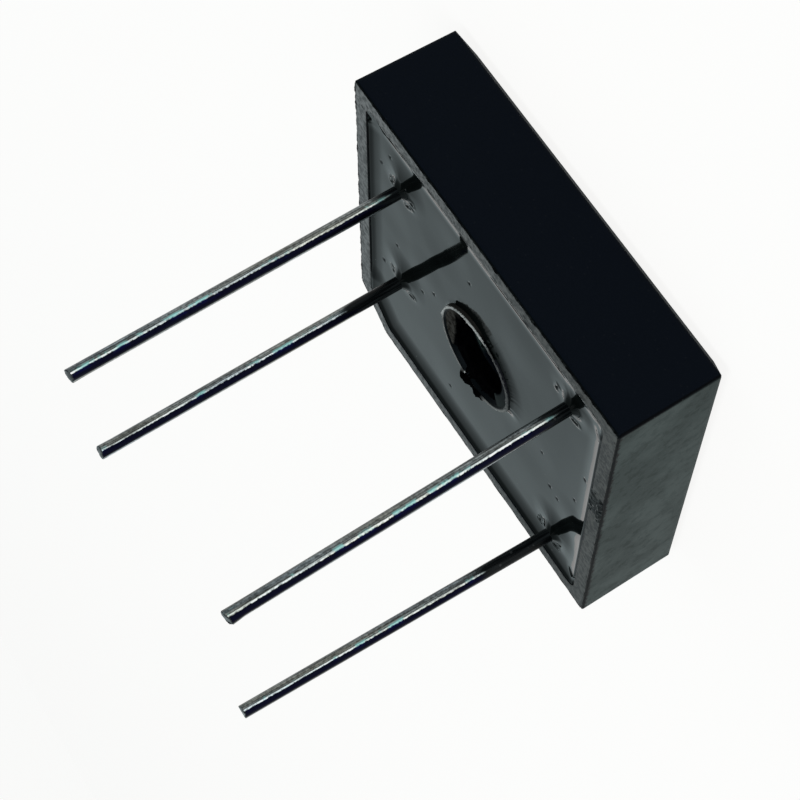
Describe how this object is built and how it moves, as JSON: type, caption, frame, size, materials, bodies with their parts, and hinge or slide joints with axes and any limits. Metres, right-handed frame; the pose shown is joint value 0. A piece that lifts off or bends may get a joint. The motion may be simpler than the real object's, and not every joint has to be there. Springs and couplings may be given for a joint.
{
  "type": "bridge rectifier",
  "caption": "Square potted bridge rectifier with wire leads, one cut corner and a screw hole through its centre.",
  "frame": {"origin": "centre of the mounting hole on the back face, which lies on the heat sink", "axes": "+Z out of the back along the leads; -Y is the polished front side; the cut corner is at +X +Y"},
  "size_m": [0.0284, 0.0284, 0.0318],
  "materials": {
    "moulding": "black moulding, one side polished",
    "epoxy": "glossy dark grey poured epoxy",
    "wire": "dark tinned copper wire",
    "plate": "plain milled",
    "strap": "bare copper strip",
    "die": "silicon",
    "solder": "dull solder"
  },
  "bodies": {
    "root": {"case": "moulding", "die_1": "die", "die_2": "die", "die_3": "die", "die_4": "die", "die_solder_lower_1": "solder", "die_solder_lower_2": "solder", "die_solder_lower_3": "solder", "die_solder_lower_4": "solder", "die_solder_upper_1": "solder", "die_solder_upper_2": "solder", "die_solder_upper_3": "solder", "die_solder_upper_4": "solder", "heat_spreader": "plate", "lead_ac_front": "wire", "lead_ac_rear": "wire", "lead_negative": "wire", "lead_positive": "wire", "lead_solder_ac_front": "solder", "lead_solder_ac_rear": "solder", "lead_solder_negative": "solder", "lead_solder_positive": "solder", "potting": "epoxy", "strap_ac_front": "strap", "strap_ac_rear": "strap", "strap_negative": "strap", "strap_positive": "strap"}
  },
  "joints": []
}
